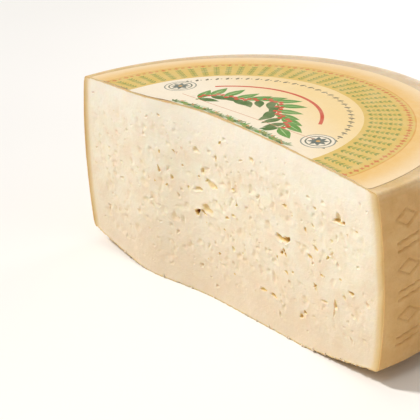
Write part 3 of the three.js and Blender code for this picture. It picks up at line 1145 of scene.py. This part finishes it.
def garland():
    """A bent stem with pairs of leaves and groups of three berries, under a plain arc."""
    stem = [vine_point(t)[0] for t in np.linspace(0, 1, VINE_POINTS)]
    over = arc(ARC_RADIUS, *ARC_REACH)
    shapes = [(band(over, ARC_WIDTH), PRINT_RED), (band(stem, VINE_WIDTH), PRINT_GREEN)]
    for i in range(GARLAND_LEAVES):
        root, along = vine_point((i + LEAF_START) / GARLAND_LEAVES)
        shapes += [(leaf(root, along + turn, *size), code) for turn, size, code in GARLAND_PAIR]
    for i in range(GARLAND_LEAVES - 1):
        root, along = vine_point((i + BERRY_START) / GARLAND_LEAVES)
        for turn in BERRY_FAN:
            berry = root + turned(np.array([[BERRY_STALK, 0]]), along + 90 + turn)[0]
            shapes.append((disc(berry, BERRY_RADIUS, 9), PRINT_RED))
    return shapes


def meadow():
    """A band of leaf tufts and small blossoms along the cut."""
    rng = np.random.default_rng(MEADOW_SEED)
    left, right = MEADOW_REACH
    x = np.linspace(left, right, 32)
    low = np.column_stack([x, cut_y(x) - MEADOW_LOW])
    x = np.linspace(right, left, 60)
    high = np.column_stack([x, cut_y(x) + MEADOW_HIGH + MEADOW_WAVE * np.sin(x / MEADOW_STRIDE)])
    shapes = [(np.vstack([low, high]), MEADOW_GREEN)]
    for i, x in enumerate(np.linspace(left + 3, right - 2, MEADOW_TUFTS)):
        root = np.array([x, cut_y(x) + rng.uniform(*TUFT_ROOT)])
        tuft_code = TUFT_COLOURS[i % len(TUFT_COLOURS)]
        for turn in TUFT_FAN:
            shapes.append((leaf(root, 90 + turn, rng.uniform(*TUFT_LENGTH), 2.0, 3), tuft_code))
        if i % 3 == 1:
            shapes += [(disc(root + place, radius, 8), code) for place, radius, code in BLOSSOMS]
    return shapes


def rule_line():
    """A thin line near the cut that rises to the right."""
    x = np.linspace(*RULE_REACH)
    return np.column_stack([x, RULE_FOOT + RULE_RISE * np.maximum(0, x - RULE_BEND) ** RULE_POWER])


def label_outline():
    """The disc's edge above the cut, anticlockwise, then back along the slightly torn cut edge."""
    rim = np.array([polar(LABEL_RADIUS, a) for a in np.linspace(*LABEL_ARC)])
    rim = rim[rim[:, 1] > cut_y(rim[:, 0]) + LABEL_RIM_INSET]
    x = np.arange(rim[-1, 0] + LABEL_CORNER, rim[0, 0] - LABEL_CORNER, LABEL_EDGE_STEP)
    points = np.column_stack([x, cut_y(x), np.zeros(len(x))])
    torn = cut_y(x) + LABEL_INSET + np.maximum(0, waves(points, TEAR)) + waves(points, FRAY)
    y = np.maximum(torn, cut_y(x) + LEAST_INSET)
    return np.vstack([rim, np.column_stack([x, y])])


def blended(share, code_from, code_to):
    return (1 - share[:, None]) * np.array(linear(code_from)) + share[:, None] * np.array(linear(code_to))


def label_colours(points, owners, shapes):
    """A colour for each corner of a face, from the topmost shape on it."""
    top = max(owners)
    if top == 0:
        r = distance(points - LABEL_CENTRE)
        return blended(smoothstep(RING_OUTER + BORDER_FADE, LABEL_RADIUS, r), GOLD, EDGE_GOLD)
    code = shapes[top - 1][1]
    if code == CENTRE:
        back = points[:, 1] + CENTRE_SLANT * points[:, 0]
        return blended(smoothstep(0, CENTRE_FADE, back), CREAM, PEACH)
    return np.tile(linear(code), (len(points), 1))


def label_height(points):
    """The height of the paper's lower side, a little curled up along the cut."""
    flat = np.column_stack([points, np.zeros(len(points))])
    from_cut = points[:, 1] - cut_y(points[:, 0])
    curl = CURL_HEIGHT * smoothstep(CURL_REACH, 0, from_cut) * (CURL_LEAST + waves(flat, CURL_WAVE))
    low = top_height(distance(points)) + LABEL_LIFT
    return low + np.maximum(0, waves(flat, BLISTERS)) + np.maximum(0, curl)


def label_plan(outline, shapes):
    """The label's points in plan and its faces, each with the numbers of the shapes over it."""
    rng = np.random.default_rng(LABEL_SEED)
    points = []
    polygons = []
    for ring in [outline] + [shape for shape, _ in shapes]:
        polygons.append(list(range(len(points), len(points) + len(ring))))
        points += ring.tolist()
    points += scattered(outline.min(axis=0), outline.max(axis=0), LABEL_STEP, rng).tolist()
    made = delaunay_2d_cdt([Vector(p) for p in points], [], polygons, INSIDE_ONLY, PRINT_TOLERANCE)
    faces = [(face, owners) for face, owners in zip(made[2], made[5]) if 0 in owners]
    used = sorted({i for face, _ in faces for i in face})
    number = {old: new for new, old in enumerate(used)}
    flat = np.array([tuple(p) for p in made[0]])[used]
    return flat, [([number[i] for i in face], owners) for face, owners in faces]


def open_sides(faces):
    """The sides that belong to one face only, in the order of the faces."""
    sides = {}
    for corners, _ in faces:
        for side in zip(corners, corners[1:] + corners[:1]):
            sides[side] = True
    return [(a, b) for a, b in sides if (b, a) not in sides]


def make_label(material):
    """Thin paper as a closed body, with its print as a colour for each corner of each face."""
    shapes = print_shapes()
    flat, plan_faces = label_plan(label_outline(), shapes)
    low = np.column_stack([flat, label_height(flat)])
    count = len(flat)
    bare = linear(BARE_PAPER)
    faces = []
    colours = []
    for corners, owners in plan_faces:
        faces.append([i + count for i in corners])
        colours.append(label_colours(flat[corners], owners, shapes))
        faces.append(corners[::-1])
        colours.append(np.tile(bare, (len(corners), 1)))
    for a, b in open_sides(plan_faces):
        faces.append([a, b, b + count, a + count])
        colours.append(np.tile(bare, (4, 1)))
    piece = mesh_piece("top_label", np.vstack([low, low + [0, 0, LABEL_THICKNESS]]), faces, material)
    layer = piece.data.color_attributes.new("print", "FLOAT_COLOR", "CORNER")
    colours = np.vstack(colours)
    opaque = np.column_stack([colours, np.ones(len(colours))])
    layer.data.foreach_set("color", opaque.astype(np.float32).ravel())
    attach(piece, "root")
    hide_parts("label")


# ---- the studio

CAMERA_PLACE = (886.7, -649.2, 527.6)
CAMERA_FORWARD = (-0.7527, 0.5352, -0.3834)
CAMERA_UP = (-0.2869, 0.2571, 0.9228)
IMAGE_SIZE = 420
FOCAL_PIXELS = 1692.9
SENSOR_MM = 36
CLIP_END_M = 50
FLOOR_HALF = 4000
WORLD_STRENGTH = 0.37
KEY_FROM = (-0.52, -0.42, 0.745)
KEY_STRENGTH = 2.6
KEY_SPREAD = math.radians(8)
KEY_COLOUR = "fffcf8"
# Soft lights: name, place, target, width, power in watts, colour.
AREA_LIGHTS = [
    ("near", (330, -480, 640), (110, 0, 90), 260, 1.1, "fffaf2"),
    ("warm", (800, 250, 160), (160, 40, 60), 500, 0.6, "ffd09a"),
    ("back", (-250, 900, 330), (-20, 150, 130), 400, 2.2, "fff6ee"),
]


def make_camera():
    back = -Vector(CAMERA_FORWARD).normalized()
    right = Vector(CAMERA_UP).cross(back).normalized()
    up = back.cross(right)
    camera = bpy.data.cameras.new("camera")
    camera.sensor_fit = "HORIZONTAL"
    camera.sensor_width = SENSOR_MM
    camera.lens = FOCAL_PIXELS / IMAGE_SIZE * SENSOR_MM
    camera.clip_end = CLIP_END_M
    holder = in_scene("camera", camera)
    turn = Matrix((right, up, back)).transposed().to_4x4()
    holder.matrix_world = Matrix.Translation(Vector(CAMERA_PLACE) * MM) @ turn
    bpy.context.scene.camera = holder


def put_light(light, place, away):
    """Puts a light at its place, with its back to the given direction."""
    turn = away.to_track_quat("Z", "Y").to_matrix().to_4x4()
    in_scene(light.name, light).matrix_world = Matrix.Translation(Vector(place) * MM) @ turn


def key_light():
    """A distant soft light."""
    light = bpy.data.lights.new("key", "SUN")
    light.energy = KEY_STRENGTH
    light.angle = KEY_SPREAD
    light.color = linear(KEY_COLOUR)
    put_light(light, (0, 0, 0), Vector(KEY_FROM))


def area_light(name, place, target, size, power, colour):
    light = bpy.data.lights.new(name, "AREA")
    light.shape = "DISK"
    light.size = size * MM
    light.energy = power
    light.color = linear(colour)
    put_light(light, place, Vector(place) - Vector(target))


def make_studio():
    half = FLOOR_HALF
    corners = [(-half, -half, 0), (half, -half, 0), (half, half, 0), (-half, half, 0)]
    mesh_piece("floor", corners, [(0, 1, 2, 3)], floor_material())
    world = bpy.data.worlds.new("studio")
    world.use_nodes = True
    background = world.node_tree.nodes["Background"]
    background.inputs["Color"].default_value = (1, 1, 1, 1)
    background.inputs["Strength"].default_value = WORLD_STRENGTH
    bpy.context.scene.world = world
    key_light()
    for light in AREA_LIGHTS:
        area_light(*light)
    bpy.context.scene.view_settings.view_transform = "Standard"


make_camera()
make_cheese(cheese_material("cheese", SCATTER_WEIGHT))
make_crumbs(cheese_material("crumb", 0))
make_label(label_material())
make_studio()
